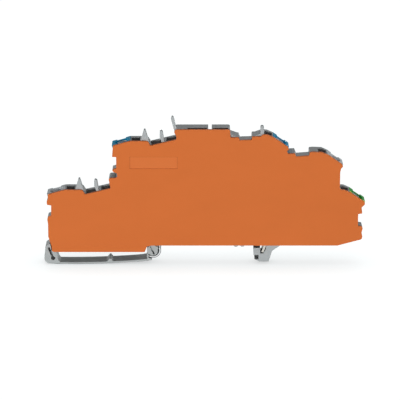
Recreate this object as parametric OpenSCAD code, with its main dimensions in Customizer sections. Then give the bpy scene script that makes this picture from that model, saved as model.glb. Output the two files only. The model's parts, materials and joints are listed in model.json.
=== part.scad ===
// Multilevel spring-clamp terminal block for a 35 mm mounting rail, closed by a snap-on end plate.
// Millimetres. X runs along the block, Y across its thickness, Z up from the rail.
// The origin is on the rail: X = 0 is the rail's centre, Z = 0 the top of its flanges and Y = 0
// the middle of the housing. The open side and the end plate are at -Y, the closed back at +Y.

/* [Housing] */
// Thickness of the housing, which is the pitch of the blocks along the rail
housing_t = 5.2; // [4.8:0.1:6.2]
// Thickness of the closed back wall
back_wall = 0.8; // [0.6:0.05:1.2]
// Thickness of the rim that runs round the outline
rim_wall = 0.9; // [0.6:0.05:1.2]
// Thickness of the inner ribs
rib_wall = 0.7; // [0.5:0.05:0.9]
// Thickness of the horns and fins on the decks
horn_t = 1.7; // [1.2:0.1:2.2]
// Distance between the stiffening ribs
rib_pitch = 9; // [7:0.5:14]
// Thickness of the end plate
plate_t = 1.0; // [0.8:0.1:1.6]

/* [Decks] */
// Height of the lowest left deck
left_low_z = 20.35; // [19:0.05:22]
// Height of the middle left deck
left_mid_z = 37.85; // [36:0.05:39.5]
// Height of the top deck
top_z = 41.95; // [41:0.05:46]
// Height of the right top deck's shoulder
right_top_z = 40.15; // [38.5:0.05:41]
// Height of the right middle deck's shoulder
right_mid_z = 33.95; // [32:0.05:35]
// Height of the lowest right deck's shoulder
right_low_z = 20.4; // [19:0.05:21.5]
// Distance from the rail's centre to the left end
left_reach = 55.6; // [54:0.1:60]
// Distance from the rail's centre to the middle left deck's wall
left_mid_reach = 33.1; // [31.5:0.1:35]
// Distance from the rail's centre to the tip of the right top deck
right_top_reach = 27.0; // [25.5:0.1:28]
// Distance from the rail's centre to the tip of the right middle deck
right_mid_reach = 45.5; // [44:0.1:47]
// Distance from the rail's centre to the right end
right_reach = 53.4; // [52:0.1:58]

/* [Clamps] */
// Lean of the left wire entries from upright
left_lean = 16; // [10:1:20]
// Lean of the right wire entries from upright
right_lean = 35; // [30:1:38]
// Radius of the wire entry bores
bore_r = 1.6; // [1.3:0.05:1.7]
// Half width of a wire guide's cap along the deck
guide_half = 3.3; // [2.9:0.05:3.4]
// Half width of the wire guide's body below its cap
guide_body_half = 2.4; // [2.2:0.05:2.6]
// Depth of a wire guide below the deck
guide_depth = 6.0; // [5:0.25:6.5]
// Depth of the clamp chambers below the deck
chamber_depth = 16.0; // [15.5:0.25:17]
// Length of the operating slots beside the wire entries
slot_length = 2.8; // [2.2:0.1:3.0]
// Thickness of the current bars
bar_t = 0.8; // [0.6:0.05:1.0]
// Thickness of the clamp springs' strip
spring_t = 0.35; // [0.25:0.05:0.5]
// Radius of the clamp springs' loop
loop_r = 2.0; // [1.7:0.05:2.1]
// Length of the spring tongues
tongue_length = 5.6; // [5:0.1:5.7]

/* [Rail side] */
// Width of the rail over its flanges
rail_w = 35; // [34:0.5:36]
// Thickness of the rail's flanges
rail_t = 1.0; // [0.8:0.1:1.5]
// Radius of the moving foot's nose
nose_r = 2.1; // [1.8:0.1:2.3]
// Thickness of the release arm
arm_t = 0.75; // [0.6:0.05:1.0]
// Travel of the moving foot when it is pulled to release the rail
latch_travel = 2.0; // [1.6:0.1:2.2]
// Thickness of the spring clip round the moving foot's nose
clip_t = 0.75; // [0.4:0.05:0.9]

/* [Fits] */
// Clearance round the parts that are pushed into the housing
seat_fit = 0.05; // [0.03:0.01:0.1]
// Clearance round the end plate's pegs
peg_fit = 0.05; // [0.03:0.01:0.08]
// Clearance round the parts that move
moving_fit = 0.2; // [0.15:0.05:0.3]
// Radius of the end plate's pegs
peg_r = 0.9; // [0.7:0.05:1.1]
// Length of the end plate's pegs
peg_length = 3.0; // [2:0.25:3.4]

/* [Hidden] */
$fn = 48;

// Layers across the thickness
y_open = -housing_t / 2;
y_back = housing_t / 2;
y_floor = y_back - back_wall;
y_plate = y_open - plate_t;
y_bore = (y_open + y_floor) / 2;
part_front = y_open + 2 * moving_fit;
all_y = [y_open, y_back];
past = 1;

// From a deck's tip and height to the middle of its wire entry
left_entry = [3.15, -0.87];
right_entry = [-2.7, -2.8];

// Wire entry stations: [x, z of the entry's middle on the deck, side (1 right, -1 left), lean]
L1 = [-left_reach + left_entry[0], left_low_z + left_entry[1], -1, left_lean];
L2 = [-left_mid_reach + left_entry[0], left_mid_z + left_entry[1], -1, left_lean];
R3 = [right_top_reach + right_entry[0], right_top_z + right_entry[1], 1, right_lean];
R2 = [right_mid_reach + right_entry[0], right_mid_z + right_entry[1], 1, right_lean];
R1 = [right_reach + right_entry[0], right_low_z + right_entry[1], 1, right_lean];
stations = [L1, L2, R3, R2, R1];

// Point of a station's own frame, u outwards along the deck and v out of it, in the block's frame
function at(s, u, v) = [
    s[0] + s[2] * (u * cos(s[3]) + v * sin(s[3])),
    s[1] - u * sin(s[3]) + v * cos(s[3])
];
function shifted(origin, pts) = [for (p = pts) origin + p];
function reversed(pts) = [for (i = [len(pts) - 1:-1:0]) pts[i]];
function right_of(a, b) = let (d = (b - a) / norm(b - a)) [d[1], -d[0]];
function corner(a, b, c, d) = let (m = right_of(a, b), n = right_of(b, c)) b + (m + n) * d / (1 + m * n);
function polar(r, a) = r * [cos(a), sin(a)];
function arc(c, r, a, b, n) = [for (i = [0:n]) c + polar(r, a + (b - a) * i / n)];

// Clockwise outline moved inwards by d
function inset(p, d) = [
    for (i = [0:len(p) - 1]) corner(p[(i + len(p) - 1) % len(p)], p[i], p[(i + 1) % len(p)], d)
];

// One side of an open path, at the distance d to its right
function beside(p, d) = [
    for (i = [0:len(p) - 1])
        i == 0 ? p[0] + right_of(p[0], p[1]) * d
        : i == len(p) - 1 ? p[i] + right_of(p[i - 1], p[i]) * d
        : corner(p[i - 1], p[i], p[i + 1], d)
];
function strip(p, t) = concat(beside(p, t / 2), reversed(beside(p, -t / 2)));

// Draws an XZ outline as a solid from y[0] to y[1]
module slab(y) {
    translate([0, y[1], 0]) rotate([90, 0, 0]) linear_extrude(y[1] - y[0]) children();
}

// Draws its children, given in u and v, at a station
module at_station(s) {
    translate([s[0], s[1]]) mirror([s[2] < 0 ? 1 : 0, 0]) rotate(-s[3]) children();
}

module rect(u, v) {
    translate([u[0], v[0]]) square([u[1] - u[0], v[1] - v[0]]);
}

// ---------- Outline ----------

// The jumper slots on the left decks: their middles, half width and the ends of their sloping floor
jumper_u = [-11.4, -16.8];
jumper_half = 1.9;
floor_ends = [10.15, 18.75];
floor_rise = tan(left_lean - 2);
deck_drop = 1.6;

notch_depth = 1.45;
low_bottom = -2.4;
step_x = -rail_w / 2 - 2.5;
top_left_x = L2[0] + floor_ends[1];
top_right_x = 7.0;
top_gap = [-0.4, 0.8];
notch_x = [top_right_x + 3.2, R3[0] - 9.95];

// The left end, from its lower corner up to the lowest deck, with the marker notch
left_end = shifted([-left_reach, 0], [
    [2.0, low_bottom + 0.05], [1.3, low_bottom + 0.4], [1.2, -0.1], [0.15, 3.3], [0.2, 8.1], [0, 9.5],
    [0.15, 10.45], [notch_depth - 0.1, 10.9], [notch_depth, 14.75], [0.1, 14.95], [-0.05, 15.5],
    [0, 16.4], [0.4, 17.0]
]);

// A left deck: the nose with the wire entry, the flat with the operating slot and the sloping
// floor with the jumper slots
function left_deck(s, z) = [
    at(s, 2.85, 0), at(s, -3.2, 0), [s[0] + 8.5, z], [s[0] + 9.2, z - 0.3], [s[0] + 9.85, z - 1.4],
    [s[0] + floor_ends[0], z - deck_drop],
    [s[0] + floor_ends[1], z - deck_drop + (floor_ends[1] - floor_ends[0]) * floor_rise]
];

// The middle left deck's wall: ledge, small lip and marker notch
mid_wall = shifted([-left_mid_reach, left_mid_z], [
    [-1.2, -13.75], [-0.8, -13.25], [1.4, -13.15], [1.8, -12.7], [1.65, -11.5], [0.4, -10.95],
    [0.1, -10.6], [0.1, -10.2], [notch_depth, -9.7], [notch_depth, -5.65], [0.1, -5.6]
]);

top_deck = [
    [top_left_x, top_z - 2.4], [top_left_x - 0.7, top_z - 1.0], [top_left_x - 0.5, top_z - 0.4],
    [top_left_x + 0.1, top_z], [top_right_x - 0.4, top_z], [top_right_x, top_z - 0.3],
    [top_right_x + 0.1, right_top_z - 1.1], [notch_x[0] - 0.3, right_top_z - 1.0],
    [notch_x[0], right_top_z - 2.0], [notch_x[1], right_top_z - 1.85],
    [notch_x[1] + 0.1, right_top_z - 0.7], [R3[0] - 6.95, right_top_z - 0.7],
    [R3[0] - 6.1, right_top_z + 0.05]
];

// A right deck's nose, from its shoulder over the wire entry to its tip
function right_nose(s) = [
    at(s, -5.35, -0.4), at(s, -2.9, 0.05), at(s, 2.9, 0), at(s, 3.5, -0.45), at(s, 3.4, -1.4)
];

mid_notch = shifted([right_top_reach, right_mid_z], [
    [-0.4, -0.65], [1.95, -0.5], [2.45, -1.65], [6.85, -1.3], [6.95, -0.1], [8.1, 0.05]
]);

low_wall = [[R2[0] + 1.7, R2[1] - 4.4], [R2[0] + 1.75, right_low_z + 0.6], [R2[0] + 2.1, right_low_z]];

right_end = shifted([right_reach, 0], [
    [-1.25, 14.0], [-0.95, 11.8], [-notch_depth - 0.9, 11.6], [-notch_depth - 0.85, 7.15], [-0.9, 7.0],
    [-0.65, 6.3], [-1.0, 4.8], [-0.7, 3.3], [-0.85, 2.5], [-1.3, 2.2], [-9.2, 0]
]);

underside = [
    [step_x, 0], [step_x - 1.5, -0.4], [step_x - 2.3, low_bottom], [-left_reach + 4.7, low_bottom]
];

outline = concat(
    left_end, left_deck(L1, left_low_z), mid_wall, left_deck(L2, left_mid_z), top_deck,
    right_nose(R3), mid_notch, right_nose(R2), low_wall, right_nose(R1), right_end, underside
);

module profile() { polygon(outline); }

// Horn and fin beside a left deck's jumper slots
module deck_horns(x, z) {
    polygon(shifted([x, z], [[6.6, -0.5], [7.8, 3.8], [8.3, 3.8], [9.3, 0.3], [9.75, -1.4], [9.0, -1.5]]));
    polygon(shifted([x, z], [[13.05, -2.2], [13.15, 3.1], [13.6, 3.45], [14.15, 3.1], [14.9, -2.0]]));
}

// Horns and fins that guide the jumpers and the marker strips, at the front of the decks
module horns() {
    deck_horns(L1[0], left_low_z);
    deck_horns(L2[0], left_mid_z);
    polygon(shifted([top_left_x, top_z], [
        [-0.65, -0.9], [-1.8, 3.6], [-1.5, 4.25], [-1.15, 4.3], [-0.9, 4.0], [0, 0.2], [0.6, -0.8]
    ]));
    polygon(shifted([R3[0], right_top_z], [
        [-7.1, -1.5], [-7.1, 2.45], [-6.85, 2.75], [-6.2, 2.75], [-5.9, 2.45], [-5.7, -1.0]
    ]));
}

// Low ears beside the upper marker notch, which stand above the end plate's edge
module ears() {
    polygon(concat(shifted([top_right_x, right_top_z], [[0, -3], [0, -0.1]]),
        shifted([notch_x[0], right_top_z], [[-0.3, -1.2], [-0.1, -1.5], [-0.1, -3]])));
    polygon(shifted([R3[0], right_top_z], [[-10, -3], [-10, -1.1], [-7, 0], [-5.9, 0], [-5.6, -1]]));
}

// ---------- Inside ----------

guide_lip = 1.2;
guide_gap = 0.1;
saddle_half = 1.5;
saddle_depth = 0.3;
stripe_t = 0.9;
stripe_end = 0.8;
stripe_bar = 0.4;
mouth_depth = 2.4;
mouth_flare = 0.75;
run_v = -chamber_depth + bar_t / 2;
leg_u = bore_r + 0.1 + bar_t / 2;
chamber_out = leg_u + bar_t / 2;
chamber_in = -(2 * loop_r + spring_t + 2.8);
spring_u = chamber_in + spring_t / 2;
loop_u = spring_u + loop_r;
loop_v = -guide_depth - loop_r - 1.0;
post_gap = 0.3;
slot_wall = 0.3;
slot_u = [-guide_half - slot_wall - slot_length, -guide_half - slot_wall];
slot_back = 0.9;
jumper_end = jumper_u[1] - jumper_half - 0.5;

// The cavity's outline before it is moved inwards by the rim
core = concat(
    [[-left_reach + notch_depth - 0.05, low_bottom], [-left_reach + notch_depth + 0.1, 15.2]],
    [at(L1, 2.7, 0), at(L1, -3.0, 0), [L1[0] + 8.4, left_low_z],
        [L1[0] + floor_ends[0], left_low_z - deck_drop], [-left_mid_reach + 1.9, left_low_z + 0.6]],
    [[-left_mid_reach + 1.9, left_mid_z - 3], at(L2, 2.7, 0), at(L2, -3.0, 0), [L2[0] + 8.4, left_mid_z],
        [L2[0] + floor_ends[0], left_mid_z - deck_drop], [top_left_x + 0.2, left_mid_z + 0.4]],
    [[top_left_x + 0.2, top_z], [top_right_x, top_z], [top_right_x, right_top_z - 2.9],
        [R3[0] - 6.5, right_top_z - 2.9], [R3[0] - 5.4, right_top_z - 0.2]],
    [at(R3, -2.9, 0), at(R3, 3.2, 0), [right_top_reach - 0.6, right_mid_z - 2.8],
        [right_top_reach + 8.0, right_mid_z - 2.8], [right_top_reach + 9.2, right_mid_z - 0.2]],
    [at(R2, -4.4, -0.3), at(R2, 3.2, 0), [R2[0] + 1.7, R2[1] - 4.4], [R2[0] + 1.7, right_low_z - 0.2]],
    [at(R1, -2.9, 0), at(R1, 3.2, 0), [right_reach - notch_depth - 0.95, 11.3],
        [right_reach - notch_depth - 0.95, 2.0], [right_reach - 9.1, 0], [step_x, 0],
        [step_x - 2.3, low_bottom]]
);

// Paths of the current bars' middle line, each from one clamp's contact leg to the other's
function clamp_end(s) = [
    at(s, leg_u, -guide_depth - 0.6), at(s, leg_u, run_v), at(s, chamber_in - 0.6, run_v)
];
line_path = concat(clamp_end(L1), [at(L1, jumper_end, run_v)], reversed(clamp_end(R2)));
neutral_path = concat(clamp_end(L2), [at(L2, jumper_end, run_v)], reversed(clamp_end(R3)));
earth_z = 4.6;
foot_x = rail_w / 2;
earth_path = concat(
    clamp_end(R1), [[foot_x + 13, earth_z], [-foot_x + 3.4, earth_z], [-foot_x + 2.2, 0.3]]
);
earth_leg = [[foot_x + 2.0, earth_z], [foot_x + 2.0, 0.2], [foot_x + 0.9, -3.0]];
bar_paths = [line_path, neutral_path, earth_path, earth_leg];
bar_slot = bar_t + 2 * seat_fit;

pegs = [
    [-left_reach + 12.5, 0.6], [-left_mid_reach + 9, left_low_z - 3.2], [top_right_x - 5.5, top_z - 5],
    [right_top_reach + 4.5, right_low_z - 4.6], [right_reach - 5.0, earth_z - 0.6]
];
peg_bottom = 0.4;

module station_walls(s) {
    at_station(s) {
        rect([chamber_in - rib_wall, chamber_out + rib_wall], [-chamber_depth - rib_wall, -0.2]);
        if (s[2] < 0)
            rect([jumper_end - rib_wall, chamber_in], [-chamber_depth - rib_wall, -0.2]);
    }
}

module ribs_2d() {
    for (s = stations) station_walls(s);
    for (p = bar_paths) polygon(strip(p, bar_slot + 2 * rib_wall));
    for (p = pegs) translate(p) circle(peg_r + peg_fit + rib_wall);
    for (x = [-left_reach + rib_pitch:rib_pitch:right_reach])
        rect([x, x + rib_wall], [low_bottom, top_z]);
    latch_walls();
}

// What is open inside the walls of a station: the clamp chamber and the way in from the wire guide
module station_voids(s) {
    at_station(s) {
        rect([chamber_in, chamber_out], [-chamber_depth, -guide_depth - 0.4]);
        rect([-bore_r - 0.3, bore_r + 0.3], [-guide_depth - 0.5, -guide_depth + 0.1]);
    }
}

module guide_seat(s) {
    slab([y_open - past, y_floor]) at_station(s)
        rect([-guide_body_half - seat_fit, guide_body_half + seat_fit], [-guide_depth, 2]);
    slab([y_open - past, y_back + past]) at_station(s)
        rect([-guide_half - seat_fit, guide_half + 2], [-guide_lip, 2]);
}

module operating_slot(s) {
    slab([y_open - past, y_floor - slot_back]) at_station(s) rect(slot_u, [-guide_depth - 0.6, 3]);
}

module jumper_slots(s) {
    slab([y_open - past, y_floor]) at_station(s)
        for (u = jumper_u) rect([u - jumper_half, u + jumper_half], [run_v + bar_t / 2, -2.4]);
}

// The slots' own openings in the sloping floor, cut on both sides of the fin
module jumper_mouths(s) {
    slab([y_open - past, y_floor]) at_station(s)
        for (u = jumper_u) rect([u - jumper_half + 0.1, u + jumper_half - 0.1], [-6, -1.6]);
}

// ---------- Moving foot ----------

nose = [-foot_x - 2.0, -rail_t - 1.3];
head_z = [1.2, 2.2];
head_x = [nose[0] - 5.6, nose[0] + 1.2];
neck_x = [nose[0] - 1.5, nose[0] + 0.3];
tab_x = -left_reach + 0.2;
arm_z = -6.95;
arm_sag = 0.45;
slot_path = [[tab_x - 0.1, -1.1], [tab_x + 1.35, -5.0]];

module latch_walls() {
    rect([head_x[0] - latch_travel - moving_fit - rib_wall, head_x[1] + moving_fit + rib_wall],
        [0, head_z[1] + moving_fit + rib_wall]);
}

module latch_space() {
    slab([y_open - past, y_floor]) {
        rect([head_x[0] - latch_travel - moving_fit, head_x[1] + moving_fit],
            [head_z[0] - moving_fit, head_z[1] + moving_fit]);
        rect([neck_x[0] - latch_travel - moving_fit, neck_x[1] + moving_fit], [-past, head_z[0]]);
    }
    slab([y_open - past, y_back + past])
        rect([nose[0] - nose_r - clip_t - latch_travel - moving_fit, step_x + 0.01],
            [low_bottom - past, 0.05]);
}

// The arm hangs a little between the tab and the foot
arm_from = [tab_x + 2.6, arm_z + 0.1];
arm_to = nose + [-1.5, -nose_r - clip_t - 0.5];
function arm_point(t) = arm_from + (arm_to - arm_from) * t - [0, arm_sag * 4 * t * (1 - t)];
arm_steps = 8;
arm_path = [for (i = [0:arm_steps]) arm_point(i / arm_steps)];
arm_peak = 0.58;

module latch_profile() {
    difference() {
        union() {
            polygon(shifted([tab_x, 0], [
                [0.2, 0.3], [-1.2, -0.6], [-1.7, -5.0], [-1.5, -6.1], [-0.5, -6.9], [2.9, -7.2],
                [3.6, -6.5], [3.0, -5.3], [2.7, -2.75], [1.7, -2.6], [0.8, -2.2], [0.6, -0.1]
            ]));
            polygon(strip(arm_path, arm_t));
            translate(arm_point(arm_peak)) polygon([[-1.3, 0], [-0.2, 1.4], [0.2, 1.4], [1.3, 0]]);
            translate(nose) circle(nose_r - seat_fit);
            polygon(shifted(nose, [
                [-1.9, -nose_r - clip_t - 0.8], [-2.1, -1], [0, -1], [-0.4, -nose_r - clip_t - 0.6]
            ]));
        }
        polygon(strip(arc(nose, nose_r + clip_t / 2, -125, 25, 14), clip_t + 2 * seat_fit));
        polygon(strip(slot_path, 0.8));
        translate(slot_path[1]) circle(0.75);
        polygon(strip([nose + [-1.0, 1.7], nose + [0.5, -1.3]], 0.45));
    }
}

// ---------- Parts ----------

module housing() {
    color([0.66, 0.69, 0.69]) difference() {
        union() {
            slab(all_y) difference() {
                union() { profile(); ears(); }
                polygon(inset(core, rim_wall));
            }
            slab([y_floor, y_back]) profile();
            slab([y_open, y_open + horn_t]) horns();
            slab([y_open, y_floor]) difference() {
                intersection() { ribs_2d(); profile(); }
                for (s = stations) station_voids(s);
                for (p = bar_paths) polygon(strip(p, bar_slot));
            }
            slab(all_y) { fixed_foot(); hat_bumps(); }
            for (s = stations) slab([part_front, y_floor])
                at_station(s) translate([loop_u, loop_v]) circle(loop_r - spring_t / 2 - post_gap);
        }
        for (s = stations) { guide_seat(s); operating_slot(s); }
        for (s = [L1, L2]) { jumper_slots(s); jumper_mouths(s); }
        for (p = bar_paths) slab([y_open - past, y_floor]) polygon(strip(p, bar_slot));
        latch_space();
        top_details();
        marker_steps();
        for (p = pegs) translate([p[0], y_open + peg_length + peg_bottom, p[1]]) rotate([90, 0, 0])
            cylinder(r = peg_r + peg_fit, h = peg_length + peg_bottom + past);
    }
}

// The top deck's gap and the shallow marker pockets beside it
pocket_t = 1.3;
pocket_z = [top_z - 3, top_z + past];
module top_details() {
    slab([y_open - past, y_back + past]) rect(top_gap, [top_z - 2.6, top_z + past]);
    slab([y_open - past, y_open + pocket_t]) {
        rect([top_gap[0] - 7.0, top_gap[0] - 0.5], pocket_z);
        rect([top_gap[1] + 0.5, top_right_x - 0.7], pocket_z);
    }
}

// The marker notches' floors and ledges, which step down towards the back
step_y = y_open + 3.6;
module marker_steps() {
    slab([step_y, y_back + past]) {
        rect(notch_x + [0.1, 0], [right_top_z - 2.9, right_top_z]);
        rect([right_top_reach + 2.5, right_top_reach + 6.9], [right_mid_z - 2.5, right_mid_z]);
        rect([-left_reach - past, -left_reach + notch_depth], [10.0, 11.0]);
        rect([-left_mid_reach - past, notch_depth - left_mid_reach],
            [left_mid_z - 10.6, left_mid_z - 9.5]);
        rect([right_reach - notch_depth - 0.9, right_reach], [6.4, 7.3]);
    }
}

module fixed_foot() {
    difference() {
        polygon(shifted([foot_x, 0], [
            [-2.2, -rail_t - 0.2], [-2.1, -5.3], [-0.1, -6.3], [3.1, -6.3], [4.2, -2.4], [6.8, -0.5],
            [8.2, 0.5], [2.7, 0.5], [2.1, 0.1], [2.1, -rail_t - 0.5], [1.3, -3.2], [0.2, -3.3],
            [0.1, -rail_t - 0.2]
        ]));
        rect([foot_x - 2.3, foot_x - 0.4], [-5.4, -3.9]);
    }
}

// Two bumps under the housing that sit in the rail's channel
bump_x = [foot_x - 8.3, foot_x - 6.1];
module hat_bumps() {
    for (x = bump_x) translate([x, 0]) polygon([[-0.9, 0.1], [-0.5, -0.8], [0.5, -0.8], [0.9, 0.1]]);
}

// The recessed field where such plates carry their lettering, left bare
field_x = [top_left_x - 15.9, top_left_x + 0.4];
field_z = [left_mid_z - 9.8, left_mid_z - 5.5];
field_depth = 0.15;

module end_plate() {
    color([0.85, 0.45, 0.22]) {
        difference() {
            slab([y_plate, y_open]) profile();
            slab([y_plate - past, y_plate + field_depth]) rect(field_x, field_z);
        }
        for (p = pegs) translate([p[0], y_open + peg_length, p[1]]) rotate([90, 0, 0])
            cylinder(r = peg_r, h = peg_length + plate_t / 2);
    }
}

module rail_latch() {
    color([0.66, 0.69, 0.69]) {
        slab(all_y) latch_profile();
        slab([part_front, y_floor - moving_fit]) {
            rect(head_x, head_z);
            rect(neck_x, [nose[1], head_z[0] + 0.1]);
        }
    }
}

clip_inset = 0.6;
module latch_clip() {
    color([0.85, 0.86, 0.87]) slab([y_open + clip_inset, y_back - clip_inset])
        polygon(strip(arc(nose, nose_r + clip_t / 2, -120, 20, 14), clip_t));
}

// A wire guide: a cap in the deck with its ends a little proud, on a body that holds the funnel
module guide(s, tint, stripe = 0) {
    color(tint) difference() {
        union() {
            slab([y_open + guide_gap, y_floor]) at_station(s)
                rect([-guide_body_half, guide_body_half], [-guide_depth, 0]);
            slab([y_open + guide_gap, y_back]) at_station(s) cap();
        }
        wire_bore(s);
        saddle(s);
        if (stripe > 0) slab([y_open, y_open + guide_gap + stripe]) at_station(s) stripe_2d(past);
    }
}

module cap() { rect([-guide_half, guide_half], [-guide_lip, 0]); }
module stripe_2d(over) {
    difference() {
        rect([-guide_half - over, guide_half + over], [-guide_lip, over]);
        rect([-guide_half + stripe_end, guide_half - stripe_end], [stripe_bar - guide_lip, 2 * past]);
    }
}
module saddle(s) {
    slab([y_open - past, y_back + past]) at_station(s)
        rect([-saddle_half, saddle_half], [-saddle_depth, past]);
}

// The yellow part of the earth entry: a strip along the green cap's front that comes up at its ends
module earth_stripe() {
    color([0.80, 0.80, 0.15]) difference() {
        slab([y_open + guide_gap, y_open + guide_gap + stripe_t]) at_station(R1) stripe_2d(0);
        wire_bore(R1);
    }
}

// The round bore and the flared mouth of a wire entry
module wire_bore(s) {
    translate([s[0], y_bore, s[1]]) rotate([0, s[2] * s[3], 0]) {
        translate([0, 0, -guide_depth - past]) cylinder(r = bore_r, h = guide_depth + 2 * past);
        translate([0, 0, -mouth_depth])
            cylinder(r1 = bore_r, r2 = bore_r + mouth_flare, h = mouth_depth + 0.3);
    }
}

window_half = [1.2, 1.1];
module bar(paths, windows) {
    color([0.80, 0.79, 0.76]) difference() {
        slab([part_front, y_floor]) for (p = paths) polygon(strip(p, bar_t));
        for (s = windows) slab([y_bore - window_half[1], y_bore + window_half[1]]) at_station(s)
            for (u = jumper_u)
                rect([u - window_half[0], u + window_half[0]], [run_v - bar_t, run_v + bar_t]);
    }
}

// A clamp spring runs up the chamber's inner wall and round its post; its tongue swings at the end
bend_angle = 20;
bend_gap = 0.1;
pivot = [loop_u, loop_v] + polar(loop_r, bend_angle) + [0.02, -bend_gap - spring_t / 2];
tongue_angle = -45;

module spring(s) {
    color([0.75, 0.77, 0.79]) slab([part_front, y_floor]) at_station(s)
        polygon(strip(concat([[spring_u, run_v + bar_t / 2]],
            arc([loop_u, loop_v], loop_r, 180, bend_angle, 16)), spring_t));
}

module tongue(s) {
    color([0.70, 0.72, 0.74]) slab([part_front + 0.1, y_floor - moving_fit]) at_station(s) {
        translate(pivot) circle(spring_t / 2);
        polygon(strip([pivot, pivot + polar(tongue_length, tongue_angle)], spring_t));
    }
}

line_grey = [0.60, 0.63, 0.63];
neutral_blue = [0.13, 0.45, 0.60];
earth_green = [0.13, 0.50, 0.22];

housing();
end_plate();
rail_latch();
latch_clip();
guide(L1, line_grey);  // left_low_guide
guide(L2, neutral_blue);  // left_mid_guide
guide(R3, neutral_blue);  // right_top_guide
guide(R2, line_grey);  // right_mid_guide
guide(R1, earth_green, stripe_t);  // right_low_guide
earth_stripe();
bar([line_path], [L1]);  // line_bar
bar([neutral_path], [L2]);  // neutral_bar
bar([earth_path, earth_leg], []);  // earth_bar
spring(L1);  // left_low_spring
spring(L2);  // left_mid_spring
spring(R3);  // right_top_spring
spring(R2);  // right_mid_spring
spring(R1);  // right_low_spring
tongue(L1);  // left_low_tongue
tongue(L2);  // left_mid_tongue
tongue(R3);  // right_top_tongue
tongue(R2);  // right_mid_tongue
tongue(R1);  // right_low_tongue
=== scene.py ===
"""Looks of the multilevel rail terminal block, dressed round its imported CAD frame.

Metres, in the frame of the CAD part: X along the block, Y across its thickness with the end plate at
-Y, Z up from the rail. Each CAD node gets a copy with softened mould edges and its own material.
"""

import json
import math

import bmesh
import bpy
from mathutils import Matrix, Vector
from mathutils.bvhtree import BVHTree


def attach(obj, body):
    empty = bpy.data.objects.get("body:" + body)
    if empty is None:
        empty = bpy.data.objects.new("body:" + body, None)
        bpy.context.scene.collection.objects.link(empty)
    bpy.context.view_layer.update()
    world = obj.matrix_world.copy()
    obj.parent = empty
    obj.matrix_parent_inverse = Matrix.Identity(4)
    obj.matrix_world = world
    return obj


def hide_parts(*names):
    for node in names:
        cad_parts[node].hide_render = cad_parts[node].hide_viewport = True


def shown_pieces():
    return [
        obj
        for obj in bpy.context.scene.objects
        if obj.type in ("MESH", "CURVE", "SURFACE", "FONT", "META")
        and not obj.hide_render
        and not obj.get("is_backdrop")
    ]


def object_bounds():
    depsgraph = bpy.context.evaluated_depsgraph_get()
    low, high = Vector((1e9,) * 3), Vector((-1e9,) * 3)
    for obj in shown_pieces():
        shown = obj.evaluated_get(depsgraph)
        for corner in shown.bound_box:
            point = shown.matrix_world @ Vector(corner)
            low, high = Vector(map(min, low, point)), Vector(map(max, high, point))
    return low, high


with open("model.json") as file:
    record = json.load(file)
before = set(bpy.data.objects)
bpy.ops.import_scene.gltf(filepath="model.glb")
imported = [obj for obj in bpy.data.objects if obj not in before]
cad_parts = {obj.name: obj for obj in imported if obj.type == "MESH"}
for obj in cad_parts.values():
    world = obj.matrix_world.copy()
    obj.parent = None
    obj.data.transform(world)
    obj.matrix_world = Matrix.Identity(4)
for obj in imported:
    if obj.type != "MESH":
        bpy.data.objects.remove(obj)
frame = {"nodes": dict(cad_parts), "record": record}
cad_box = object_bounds()

MM = 0.001

# ---------- Image points, in pixels of the 400 x 400 photograph ----------

IMAGE_W, IMAGE_H = 400, 400
LEFT_X = 44.2
RIGHT_X = 366.5
TOP_Y = 115.6
BOTTOM_Y = 264.3
TIPS = {
    "left_low_horn": (79.0, 177.5),
    "left_low_fin": (96.5, 178.3),
    "left_mid_horn": (144.5, 129.0),
    "left_mid_fin": (161.4, 130.0),
    "top_blade": (173.2, 115.6),
    "right_top_horn": (262.0, 125.0),
}
MIDDLES = {
    "left_low_guide": (57.0, 189.0),
    "left_mid_guide": (121.5, 140.5),
    "right_top_guide": (280.5, 138.5),
    "right_low_guide": (356.5, 194.0),
}
CLIP_END_X = 161.6
PLATE_MARK = (276.8, 186.8)

# ---------- Camera ----------

CAMERA_PITCH = math.radians(20)
CAMERA_DISTANCE = 0.625
CAMERA_AIM = Vector((-0.00319, -0.0036, 0.01679))
LENS = 164.6
SENSOR = 36.0
VIEW_NEAR = 0.05
VIEW_FAR = 10


def make_camera():
    """The camera at the photograph's viewing angle, aimed by its named place and not shifted."""
    data = bpy.data.cameras.new("camera")
    data.lens = LENS
    data.sensor_width = SENSOR
    data.sensor_fit = "AUTO"
    data.clip_start = VIEW_NEAR
    data.clip_end = VIEW_FAR
    camera = bpy.data.objects.new("camera", data)
    bpy.context.scene.collection.objects.link(camera)
    back = Vector((0, -math.cos(CAMERA_PITCH), math.sin(CAMERA_PITCH)))
    camera.location = CAMERA_AIM + CAMERA_DISTANCE * back
    camera.rotation_euler = (-back).to_track_quat("-Z", "Y").to_euler()
    bpy.context.scene.camera = camera
    bpy.context.view_layer.update()
    return camera


camera = make_camera()


def ray(x, y):
    """Origin and direction of the camera's ray through an image point."""
    data = camera.data
    long_side = max(IMAGE_W, IMAGE_H)
    direction = Vector((
        x - IMAGE_W / 2 + data.shift_x * long_side,
        IMAGE_H / 2 - y + data.shift_y * long_side,
        -long_side * data.lens / data.sensor_width,
    ))
    turned = camera.matrix_world.to_3x3() @ direction
    return camera.matrix_world.translation, turned.normalized()


def image_place(point):
    """Image point of a place in the frame, by the same rule as ray()."""
    data = camera.data
    long_side = max(IMAGE_W, IMAGE_H)
    local = camera.matrix_world.inverted() @ Vector(point)
    scale = long_side * data.lens / data.sensor_width / -local.z
    x = local.x * scale + IMAGE_W / 2 - data.shift_x * long_side
    y = IMAGE_H / 2 - local.y * scale + data.shift_y * long_side
    return x, y


# Depths along a ray at which a piece is looked for that the ray misses
SEARCH_DEPTHS = [CAMERA_DISTANCE + step * MM for step in range(-60, 61, 4)]


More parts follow.
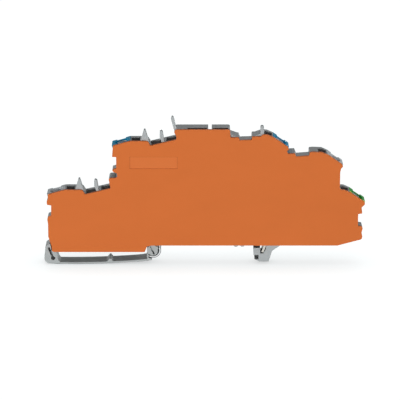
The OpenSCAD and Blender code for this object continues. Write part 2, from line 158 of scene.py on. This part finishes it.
def on_surface(point, piece):
    """Place where the ray through an image point meets a finished piece, or comes nearest to it."""
    graph = bpy.context.evaluated_depsgraph_get()
    tree = BVHTree.FromObject(piece, graph)
    origin, direction = ray(*point)
    place, _, _, _ = tree.ray_cast(origin, direction)
    if place is None:
        found = [tree.find_nearest(origin + direction * depth) for depth in SEARCH_DEPTHS]
        place, _, _, _ = min(found, key=lambda nearest: nearest[3])
    return place


# ---------- Materials ----------

def new_material(name):
    material = bpy.data.materials.new(name)
    material.use_nodes = True
    tree = material.node_tree
    return material, tree, tree.nodes["Principled BSDF"]


def noise(tree, scale, detail=3.0, roughness=0.5, stretch=None):
    """A noise in the frame's own coordinates, in cells per metre, stretched where asked."""
    coordinates = tree.nodes.new("ShaderNodeTexCoord")
    texture = tree.nodes.new("ShaderNodeTexNoise")
    texture.inputs["Scale"].default_value = scale
    texture.inputs["Detail"].default_value = detail
    texture.inputs["Roughness"].default_value = roughness
    source = coordinates.outputs["Object"]
    if stretch:
        mapping = tree.nodes.new("ShaderNodeMapping")
        mapping.inputs["Scale"].default_value = stretch
        tree.links.new(source, mapping.inputs["Vector"])
        source = mapping.outputs["Vector"]
    tree.links.new(source, texture.inputs["Vector"])
    return texture.outputs["Fac"]


def mapped(tree, source, old, new=(0, 1), interpolation="LINEAR"):
    """A value taken from its old range to a new one, and held inside it."""
    node = tree.nodes.new("ShaderNodeMapRange")
    node.interpolation_type = interpolation
    node.inputs["From Min"].default_value, node.inputs["From Max"].default_value = old
    node.inputs["To Min"].default_value, node.inputs["To Max"].default_value = new
    tree.links.new(source, node.inputs["Value"])
    return node.outputs["Result"]


def combined(tree, operation, first, second):
    """One value worked out from two."""
    node = tree.nodes.new("ShaderNodeMath")
    node.operation = operation
    tree.links.new(first, node.inputs[0])
    tree.links.new(second, node.inputs[1])
    return node.outputs[0]


# The parts of a noise's range that are spread over a sheen and over a colour
SHEEN_RANGE = (0.25, 0.75)
TINT_RANGE = (0.3, 0.7)


def tinted(tree, source, dark, light):
    """A colour between dark and light, by a noise."""
    ramp = tree.nodes.new("ShaderNodeValToRGB")
    for mark, position, colour in zip(ramp.color_ramp.elements, TINT_RANGE, (dark, light)):
        mark.position = position
        mark.color = (*colour, 1)
    tree.links.new(source, ramp.inputs["Fac"])
    return ramp.outputs["Color"]


def bump(tree, source, strength, distance, below=None):
    """Relief by a height, on top of the relief below where there is one."""
    node = tree.nodes.new("ShaderNodeBump")
    node.inputs["Strength"].default_value = strength
    node.inputs["Distance"].default_value = distance
    tree.links.new(source, node.inputs["Height"])
    if below is not None:
        tree.links.new(below, node.inputs["Normal"])
    return node.outputs["Normal"]


def linear(red, green, blue):
    """Linear colour of 8-bit sRGB values."""
    def channel(value):
        value /= 255
        return value / 12.92 if value <= 0.04045 else ((value + 0.055) / 1.055) ** 2.4
    return channel(red), channel(green), channel(blue)


# Cells per metre and heights of what shows in a moulded surface, and the change of its roughness
CLOUD_CELLS = 55
SHEEN_CELLS = 420
WAVE_CELLS = 260
GRAIN_CELLS = 5200
WAVE_STRENGTH = 0.12
WAVE_HEIGHT = 0.06 * MM
GRAIN_HEIGHT = 0.014 * MM
PLASTIC_SHEEN = (-0.06, 0.08)
POLYAMIDE_IOR = 1.52


def plastic(name, colour, roughness, change=0.05, grain=0.35, specular=0.08):
    """Moulded polyamide: spark-eroded grain, slow flow clouds in its colour and an uneven sheen."""
    material, tree, shader = new_material(name)
    base = linear(*colour)
    dark = [c * (1 - change) for c in base]
    light = [min(1, c * (1 + change)) for c in base]
    clouds = noise(tree, CLOUD_CELLS, detail=4, roughness=0.6, stretch=(1, 1, 1.8))
    tree.links.new(tinted(tree, clouds, dark, light), shader.inputs["Base Color"])
    sheens = [roughness + more for more in PLASTIC_SHEEN]
    sheen = mapped(tree, noise(tree, SHEEN_CELLS), SHEEN_RANGE, sheens)
    tree.links.new(sheen, shader.inputs["Roughness"])
    waves = bump(tree, noise(tree, WAVE_CELLS, detail=2), WAVE_STRENGTH, WAVE_HEIGHT)
    fine = noise(tree, GRAIN_CELLS, roughness=0.65)
    tree.links.new(bump(tree, fine, grain, GRAIN_HEIGHT, waves), shader.inputs["Normal"])
    shader.inputs["IOR"].default_value = POLYAMIDE_IOR
    shader.inputs["Specular IOR Level"].default_value = specular
    return material


def multiplied(tree, colour, factor):
    """A colour times a grey value."""
    mix = tree.nodes.new("ShaderNodeMix")
    mix.data_type = "RGBA"
    mix.blend_type = "MULTIPLY"
    mix.inputs["Factor"].default_value = 1.0
    tree.links.new(colour, mix.inputs["A"])
    tree.links.new(factor, mix.inputs["B"])
    return mix.outputs["Result"]


def shaded(material, grey):
    """Multiplies the colour that a material has so far by a grey value."""
    tree = material.node_tree
    base = tree.nodes["Principled BSDF"].inputs["Base Color"]
    tree.links.new(multiplied(tree, base.links[0].from_socket, grey), base)


def openness(tree, reach):
    """How open a place is, from 0 deep inside to 1 with nothing round it within a reach."""
    near = tree.nodes.new("ShaderNodeAmbientOcclusion")
    near.inputs["Distance"].default_value = reach
    return near.outputs["AO"]


# The openness at which the painted shade in a recess is darkest
CLOSED_IN = 0.25


def painted_shade_in_recesses(material, reach, deepest, clear=0.7):
    """Paints shade into a plastic's colour in its slots and pockets, the more closed in the darker."""
    tree = material.node_tree
    shaded(material, mapped(tree, openness(tree, reach), (CLOSED_IN, clear), (deepest, 1)))


def across(tree, place):
    """Distance in the XZ plane from a place, which is the same all through the thickness."""
    coordinates = tree.nodes.new("ShaderNodeTexCoord")
    away = tree.nodes.new("ShaderNodeVectorMath")
    away.operation = "SUBTRACT"
    away.inputs[1].default_value = place
    tree.links.new(coordinates.outputs["Object"], away.inputs[0])
    flat = tree.nodes.new("ShaderNodeVectorMath")
    flat.operation = "MULTIPLY"
    flat.inputs[1].default_value = (1, 0, 1)
    tree.links.new(away.outputs["Vector"], flat.inputs[0])
    length = tree.nodes.new("ShaderNodeVectorMath")
    length.operation = "LENGTH"
    tree.links.new(flat.outputs["Vector"], length.inputs[0])
    return length.outputs["Value"]


MARK_EDGE = 0.12 * MM


def pin_marks(material, places, radius, depth):
    """Shallow round marks of the mould's ejector pins, pressed into the finish of a material."""
    tree = material.node_tree
    shader = tree.nodes["Principled BSDF"]
    edge = (radius - MARK_EDGE, radius + MARK_EDGE)
    height = None
    for place in places:
        mark = mapped(tree, across(tree, place), edge, interpolation="SMOOTHSTEP")
        height = mark if height is None else combined(tree, "MINIMUM", height, mark)
    below = shader.inputs["Normal"].links[0].from_socket
    tree.links.new(bump(tree, height, 1.0, depth, below), shader.inputs["Normal"])


# The same of a metal surface
FILM_CELLS = 700
LINE_CELLS = 900
LINE_HEIGHT = 0.01 * MM
METAL_SHEEN = (-0.07, 0.12)


def metal(name, colour, roughness, stretch, change=0.06, scratch=0.3):
    """Rolled or drawn metal: fine lines one way, by the stretch, and a spotted tin or oxide film."""
    material, tree, shader = new_material(name)
    base = linear(*colour)
    dark = [c * (1 - change * 2) for c in base]
    light = [min(1, c * (1 + change)) for c in base]
    film = noise(tree, FILM_CELLS, detail=5, roughness=0.65)
    tree.links.new(tinted(tree, film, dark, light), shader.inputs["Base Color"])
    lines = noise(tree, LINE_CELLS, detail=4, roughness=0.7, stretch=stretch)
    sheens = [roughness + more for more in METAL_SHEEN]
    tree.links.new(mapped(tree, lines, SHEEN_RANGE, sheens), shader.inputs["Roughness"])
    tree.links.new(bump(tree, lines, scratch, LINE_HEIGHT), shader.inputs["Normal"])
    shader.inputs["Metallic"].default_value = 1.0
    return material


HOUSING_GREY = plastic("housing_grey", (178, 182, 183), 0.44)
GUIDE_GREY = plastic("guide_grey", (188, 194, 196), 0.4)
LATCH_GREY = plastic("latch_grey", (180, 184, 184), 0.46)
# The grey plastic inside the wire funnels, made much lighter than the housing's grey as a painted
# highlight of their lit far walls
FUNNEL_LIT_GREY = plastic("funnel_lit_grey", (240, 243, 246), 0.38, change=0.03)
PLATE_ORANGE = plastic("plate_orange", (216, 116, 60), 0.48, change=0.02)
FIELD_ORANGE = plastic("field_orange", (221, 121, 65), 0.38, change=0.01, grain=0.1)
NEUTRAL_BLUE = plastic("neutral_blue", (20, 142, 182), 0.42, specular=0.03)
EARTH_GREEN = plastic("earth_green", (44, 152, 56), 0.42, specular=0.03)
EARTH_YELLOW = plastic("earth_yellow", (220, 218, 66), 0.38)

# Stretches that turn a noise into lines
LINES_IN_XZ = (0.15, 6, 0.15)
LINES_ALONG_Y = (1, 0.1, 1)
TINNED_COPPER = metal("tinned_copper", (214, 211, 203), 0.33, LINES_IN_XZ)
SPRING_STEEL = metal("spring_steel", (200, 202, 205), 0.22, LINES_ALONG_Y)
CLIP_STEEL = metal("clip_steel", (242, 244, 246), 0.2, LINES_ALONG_Y, change=0.02, scratch=0.2)
# Painted shade: the housing and latch colours darken in their slots and pockets, and the label field's
# colour along its rim
painted_shade_in_recesses(HOUSING_GREY, 3.6 * MM, 0.25)
painted_shade_in_recesses(LATCH_GREY, 1.6 * MM, 0.25)
painted_shade_in_recesses(FIELD_ORANGE, 0.6 * MM, 0.45, clear=0.97)

# ---------- Moulded copies of the CAD nodes ----------

PLASTIC_EDGE = 0.13 * MM
GUIDE_EDGE = 0.8 * PLASTIC_EDGE
METAL_EDGE = 0.06 * MM
SEGMENTS = 2
SHARP = math.radians(30)
SMOOTH = math.radians(33)
WELD = 0.0002 * MM
FLAT = math.radians(0.8)
# The least length of an edge beside a softened one, and how far round a fold the edges stay sharp,
# both in widths of the softening
ROOM = 2.6
FOLD_REACH = 1.6
TINY_AREA = 1e-12
SOFTEN_TRIES = 6


def can_soften(edge, width):
    """True for a sharp edge whose neighbours are long enough to take the softening."""
    if not edge.is_manifold or edge.calc_face_angle(0) < SHARP:
        return False
    around = [e for v in edge.verts for e in v.link_edges]
    return min(e.calc_length() for e in around) > ROOM * width


def is_near(edge, spot, reach):
    """True where a place lies within a reach of an edge."""
    start, end = (vertex.co for vertex in edge.verts)
    along = end - start
    share = min(1, max(0, (spot - start).dot(along) / along.length_squared))
    return (start + along * share - spot).length < reach


def folded_spots(bm):
    """Corners of the triangles that lie against their own face, where softened edges cross."""
    bm.normal_update()
    spots = []
    for loops in bm.calc_loop_triangles():
        a, b, c = (loop.vert.co for loop in loops)
        turn = (b - a).cross(c - a)
        if turn.length > TINY_AREA and turn.dot(loops[0].face.normal) < 0:
            spots += [a.copy(), b.copy(), c.copy()]
    return spots


def bevelled(node, width, sharp):
    """The mesh of a CAD node with softened edges, apart from those near the places to leave sharp."""
    bm = bmesh.new()
    bm.from_mesh(frame["nodes"][node].data)
    bmesh.ops.remove_doubles(bm, verts=bm.verts, dist=WELD)
    bmesh.ops.dissolve_limit(bm, angle_limit=FLAT, verts=bm.verts, edges=bm.edges)
    edges = [e for e in bm.edges if can_soften(e, width)]
    edges = [e for e in edges if not any(is_near(e, spot, FOLD_REACH * width) for spot in sharp)]
    bmesh.ops.bevel(
        bm, geom=edges, offset=width, offset_type="OFFSET", segments=SEGMENTS,
        profile=0.5, affect="EDGES", clamp_overlap=False,
    )
    return bm


def softened(node, width):
    """The mesh of a CAD node with softened edges, left sharp where the softening would fold."""
    sharp = []
    for tries_left in reversed(range(SOFTEN_TRIES)):
        bm = bevelled(node, width, sharp)
        folded = folded_spots(bm)
        if not folded or not tries_left:
            return bm
        sharp += folded
        bm.free()


body_of_node = {
    name: body for body, names in frame["record"]["behaviour"]["bodies"].items() for name in names
}


def moulded(node, material, width):
    """A copy of a CAD node with softened edges, which stands for it and rides on its body."""
    mesh = bpy.data.meshes.new(node + "_moulded")
    bm = softened(node, width)
    for face in bm.faces:
        face.smooth = True
    for edge in bm.edges:
        edge.smooth = edge.calc_face_angle(0) < SMOOTH
    bm.to_mesh(mesh)
    bm.free()
    mesh.materials.append(material)
    piece = bpy.data.objects.new(node + "_moulded", mesh)
    bpy.context.scene.collection.objects.link(piece)
    normals = piece.modifiers.new("normals", "WEIGHTED_NORMAL")
    normals.keep_sharp = True
    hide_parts(node)
    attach(piece, body_of_node[node])
    return piece


STATIONS = ("left_low", "left_mid", "right_top", "right_mid", "right_low")

housing = moulded("housing", HOUSING_GREY, PLASTIC_EDGE)
plate = moulded("end_plate", PLATE_ORANGE, PLASTIC_EDGE)
latch = moulded("rail_latch", LATCH_GREY, PLASTIC_EDGE)
clip = moulded("latch_clip", CLIP_STEEL, METAL_EDGE)
moulded("earth_stripe", EARTH_YELLOW, METAL_EDGE)

# ---------- Latch and its clip ----------

LATCH_CLEAR = 0.04 * MM


def cleared(piece, depth):
    """Sets a piece's front face back, so that it slides past the plate without touching it."""
    spots = [vertex.co for vertex in piece.data.vertices]
    front = min(spot.y for spot in spots)
    for spot in spots:
        spot.y = max(spot.y, front + depth)


cleared(latch, LATCH_CLEAR)

# The clip's outer radius, and the side of the latch's nose where shade is painted into the groove
# inside the clip
CLIP_OUTER = 2.85 * MM
GROOVE_TURN = math.radians(-60)
GROOVE_START = 0.2 * MM


def clip_centre():
    """The centre of the clip's arc, by its outer radius from its right and its lower end."""
    spots = [vertex.co for vertex in clip.data.vertices]
    right = max(spot.x for spot in spots)
    bottom = min(spot.z for spot in spots)
    return Vector((right - CLIP_OUTER, 0, bottom + CLIP_OUTER))


def lower_right_only(tree, grey, centre):
    """A grey value of painted shade on the lower right side of the clip's centre, and 1 elsewhere."""
    turn = Vector((math.cos(GROOVE_TURN), 0, math.sin(GROOVE_TURN)))
    start = centre.dot(turn) + GROOVE_START
    full = centre.dot(turn) + 2 * GROOVE_START
    coordinates = tree.nodes.new("ShaderNodeTexCoord")
    towards = tree.nodes.new("ShaderNodeVectorMath")
    towards.operation = "DOT_PRODUCT"
    towards.inputs[1].default_value = turn
    tree.links.new(coordinates.outputs["Object"], towards.inputs[0])
    kept = tree.nodes.new("ShaderNodeMix")
    kept.data_type = "RGBA"
    kept.inputs["A"].default_value = (1, 1, 1, 1)
    tree.links.new(mapped(tree, towards.outputs["Value"], (start, full)), kept.inputs["Factor"])
    tree.links.new(grey, kept.inputs["B"])
    return kept.outputs["Result"]


def painted_shade_rings(material, stops, one_side=False):
    """Paints shade into a material in rings round the clip's centre, or on the lower right side of it
    only.

    Each stop is a share of the clip's outer radius and the grey its colour is multiplied by there.
    """
    centre = clip_centre()
    tree = material.node_tree
    ramp = tree.nodes.new("ShaderNodeValToRGB")
    marks = ramp.color_ramp.elements
    for index, (position, grey) in enumerate(stops):
        mark = marks[index] if index < 2 else marks.new(position)
        mark.position = position
        mark.color = (grey, grey, grey, 1)
    radius = mapped(tree, across(tree, centre), (0, CLIP_OUTER))
    tree.links.new(radius, ramp.inputs["Fac"])
    grey = ramp.outputs["Color"]
    if one_side:
        grey = lower_right_only(tree, grey, centre)
    shaded(material, grey)


# Painted shade: dark at the clip's inner edge, where it meets the latch's nose, and at its outer edge,
# and dark in the groove round the nose
CLIP_SHADE_RINGS = [(0.78, 0.1), (0.82, 1.0), (0.9, 1.0), (0.94, 0.15)]
GROOVE_SHADE_RING = [(0.58, 1.0), (0.63, 0.12), (0.76, 0.12), (0.8, 1.0)]
painted_shade_rings(CLIP_STEEL, CLIP_SHADE_RINGS)
painted_shade_rings(LATCH_GREY, GROOVE_SHADE_RING, one_side=True)

# ---------- Label field, wire guides and the metal inside ----------

FIELD_DEPTH = 0.1 * MM
FACING_FRONT = -0.9


def light_field(piece):
    """Gives the recessed label field its finer, slightly lighter finish."""
    piece.data.materials.append(FIELD_ORANGE)
    front = min(vertex.co.y for vertex in piece.data.vertices)
    for face in piece.data.polygons:
        recessed = front + FIELD_DEPTH < face.center.y < front + 3 * FIELD_DEPTH
        if recessed and face.normal.y < FACING_FRONT:
            face.material_index = 1


light_field(plate)

# The material and slot of each guide, and how far below the deck its funnel turns light grey, in mm
GUIDE_LOOKS = {
    "left_low": (GUIDE_GREY, "guide_grey", 0.1),
    "left_mid": (NEUTRAL_BLUE, "neutral_blue", 0.6),
    "right_top": (NEUTRAL_BLUE, "neutral_blue", 0.6),
    "right_mid": (GUIDE_GREY, "guide_grey", 0.1),
    "right_low": (EARTH_GREEN, "earth_green", 0.6),
}
guides = {
    station: moulded(station + "_guide", material, GUIDE_EDGE)
    for station, (material, slot, _) in GUIDE_LOOKS.items()
}
FUNNEL_REACH = 2.4 * MM
FUNNEL_TURN = 0.6
FACING_INWARDS = -0.5
DECK_ABOVE_BORE = 4.2 * MM


def light_funnel(piece, entry, depth):
    """Gives a wire guide's funnel, in front and at the back, its light grey from a depth downwards:
    the grey plastic beneath the cap, lightened to near white as a painted highlight where the far wall
    catches the light.
    """
    place = Vector(entry["pos_m"])
    axis = Vector(entry["axis"])
    ring = place + axis * (DECK_ABOVE_BORE - depth)
    bm = bmesh.new()
    bm.from_mesh(piece.data)
    everything = bm.verts[:] + bm.edges[:] + bm.faces[:]
    bmesh.ops.bisect_plane(bm, geom=everything, plane_co=ring, plane_no=axis)
    for face in bm.faces:
        centre = face.calc_center_median()
        out = centre - place
        out -= axis * out.dot(axis)
        inside = out.length < FUNNEL_REACH and out.normalized().dot(face.normal) < FACING_INWARDS
        below = (centre - ring).dot(axis) < 0
        if inside and below and abs(face.normal.y) > FUNNEL_TURN:
            face.material_index = 1
    bm.to_mesh(piece.data)
    bm.free()
    piece.data.materials.append(FUNNEL_LIT_GREY)


for mount in frame["record"]["mounts"]:
    station = mount["name"].removesuffix("_entry")
    if station in guides:
        light_funnel(guides[station], mount, GUIDE_LOOKS[station][2] * MM)

for name in ("line_bar", "neutral_bar", "earth_bar"):
    moulded(name, TINNED_COPPER, METAL_EDGE)
for station in STATIONS:
    moulded(station + "_spring", SPRING_STEEL, METAL_EDGE)
    moulded(station + "_tongue", SPRING_STEEL, METAL_EDGE)

# ---------- Ejector pin marks ----------

MARK_RADIUS = 0.9 * MM
MARK_DEPTH = 0.02 * MM
BACK_MARKS = [Vector((x, 0, z)) * MM for x, z in ((-47, 6), (-24, 30), (4, 34), (33, 24), (42, 6))]
BACK_MARK_RADIUS = 1.6 * MARK_RADIUS
BACK_MARK_DEPTH = 2 * MARK_DEPTH

plate_mark = on_surface(PLATE_MARK, plate)
pin_marks(PLATE_ORANGE, [plate_mark], MARK_RADIUS, MARK_DEPTH)
pin_marks(HOUSING_GREY, BACK_MARKS, BACK_MARK_RADIUS, BACK_MARK_DEPTH)

# ---------- Stage and light ----------

FLOOR_DROP = 0.02 * MM
FLOOR_REACH = 1.5


def flat_square(name, reach, z):
    """A level square that reaches as far along X as along Y, both ways."""
    mesh = bpy.data.meshes.new(name)
    corners = [(-reach, -reach, z), (reach, -reach, z), (reach, reach, z), (-reach, reach, z)]
    mesh.from_pydata(corners, [], [(0, 1, 2, 3)])
    piece = bpy.data.objects.new(name, mesh)
    bpy.context.scene.collection.objects.link(piece)
    return piece


def seen_directly(tree):
    """1 for camera, glossy and transmission rays, 0 for the rays that light the object."""
    rays = tree.nodes.new("ShaderNodeLightPath").outputs
    either = combined(tree, "MAXIMUM", rays["Is Camera Ray"], rays["Is Glossy Ray"])
    return combined(tree, "MAXIMUM", either, rays["Is Transmission Ray"])


FLOOR_TINT = (0.25, 0.32, 0.33)
FLOOR_GLOW = 0.94
# Reach and deepest share of the painted contact shadow in the floor's glow, on top of the real shadow
# its pale surface takes from the lamps
SHADE_REACH = 16 * MM
SHADE_DEEPEST = 0.62


def make_floor():
    """A pale floor, seen from above only, so that the object's underside can be looked at; near the
    object its glow dims as a painted contact shadow.
    """
    low, _ = cad_box
    floor = flat_square("floor", FLOOR_REACH, low.z - FLOOR_DROP)
    material, tree, shader = new_material("floor_white")
    shader.inputs["Base Color"].default_value = (*FLOOR_TINT, 1)
    shader.inputs["Roughness"].default_value = 0.9
    shader.inputs["Specular IOR Level"].default_value = 0.0
    shader.inputs["Emission Color"].default_value = (1, 1, 1, 1)
    shade = mapped(tree, openness(tree, SHADE_REACH), (0, 1), (FLOOR_GLOW * SHADE_DEEPEST, FLOOR_GLOW))
    glow = combined(tree, "MULTIPLY", seen_directly(tree), shade)
    tree.links.new(glow, shader.inputs["Emission Strength"])
    below = tree.nodes.new("ShaderNodeNewGeometry")
    clear = tree.nodes.new("ShaderNodeBsdfTransparent")
    one_sided = tree.nodes.new("ShaderNodeMixShader")
    tree.links.new(below.outputs["Backfacing"], one_sided.inputs["Fac"])
    tree.links.new(shader.outputs[0], one_sided.inputs[1])
    tree.links.new(clear.outputs[0], one_sided.inputs[2])
    tree.links.new(one_sided.outputs[0], tree.nodes["Material Output"].inputs["Surface"])
    floor.data.materials.append(material)
    floor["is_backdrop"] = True


WORLD_LIGHT = 0.11


def make_world():
    """A white surround that shows at full strength and lights the object only a little."""
    world = bpy.data.worlds.new("studio")
    bpy.context.scene.world = world
    world.use_nodes = True
    tree = world.node_tree
    background = tree.nodes["Background"]
    background.inputs["Color"].default_value = (1, 1, 1, 1)
    strength = mapped(tree, seen_directly(tree), (0, 1), (WORLD_LIGHT, 1))
    tree.links.new(strength, background.inputs["Strength"])


LIGHT_AIM = Vector((0, 0, 0.016))


def softbox(name, place, size, power):
    """An area lamp, aimed at the block, that lights the surfaces without showing in them."""
    data = bpy.data.lights.new(name, "AREA")
    data.shape = "RECTANGLE"
    data.size, data.size_y = size
    data.energy = power
    lamp = bpy.data.objects.new(name, data)
    bpy.context.scene.collection.objects.link(lamp)
    lamp.visible_glossy = False
    lamp.location = place
    lamp.rotation_euler = (LIGHT_AIM - Vector(place)).to_track_quat("-Z", "Y").to_euler()


make_floor()
make_world()
softbox("key", (-0.1, -0.9, 0.05), (0.7, 0.08), 6.4)
softbox("overhead", (0.05, 0.05, 0.7), (0.5, 0.4), 0.85)
softbox("behind", (0.15, 0.9, 0.03), (0.7, 0.06), 4.2)
softbox("left_end", (-0.9, -0.1, 0.03), (0.4, 0.06), 2.6)
softbox("right_end", (0.9, -0.1, 0.03), (0.4, 0.06), 2.6)

bpy.context.scene.view_settings.view_transform = "Standard"

# ---------- Offsets from the image points ---

def seen_vertices(pieces):
    """Image places of the finished vertices of some pieces."""
    graph = bpy.context.evaluated_depsgraph_get()
    places = []
    for piece in pieces:
        shape = piece.evaluated_get(graph)
        places += [image_place(shape.matrix_world @ vertex.co) for vertex in shape.data.vertices]
    return places


# How far round an image point a tip and the middle of a piece are looked for, in pixels
TIP_REACH = 4
MIDDLE_REACH = 14
MIDDLE_STEP = 0.5


def tip_near(places, point):
    """The highest vertex near an image point."""
    near = [place for place in places if math.dist(place, point) < TIP_REACH]
    return min(near, key=lambda place: place[1], default=None)


def middle_seen(piece, point):
    """The middle of what the camera sees of a piece, round an image point."""
    graph = bpy.context.evaluated_depsgraph_get()
    count = round(2 * MIDDLE_REACH / MIDDLE_STEP) + 1
    steps = [MIDDLE_STEP * i - MIDDLE_REACH for i in range(count)]
    found = []
    for x in steps:
        for y in steps:
            place = (point[0] + x, point[1] + y)
            hit = bpy.context.scene.ray_cast(graph, *ray(*place))
            if hit[0] and hit[4].name == piece.name:
                found.append(place)
    if not found:
        return None
    return tuple(sum(values) / len(found) for values in zip(*found))


def write_points():
    """Works out how far each thing shows from its image point, in pixels."""
    everything = seen_vertices(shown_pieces())
    xs = [place[0] for place in everything]
    ys = [place[1] for place in everything]
    offsets = {
        "left": [min(xs) - LEFT_X, None],
        "right": [max(xs) - RIGHT_X, None],
        "top": [None, min(ys) - TOP_Y],
        "bottom": [None, max(ys) - BOTTOM_Y],
        "clip_end": [max(place[0] for place in seen_vertices([clip])) - CLIP_END_X, None],
    }
    on_housing = seen_vertices([housing])
    found = {name: (tip_near(on_housing, point), point) for name, point in TIPS.items()}
    for name, point in MIDDLES.items():
        found[name] = (middle_seen(guides[name.removesuffix("_guide")], point), point)
    found["plate_mark"] = (image_place(plate_mark), PLATE_MARK)
    for name, (place, point) in found.items():
        if place:
            offsets[name] = [place[0] - point[0], place[1] - point[1]]


write_points()
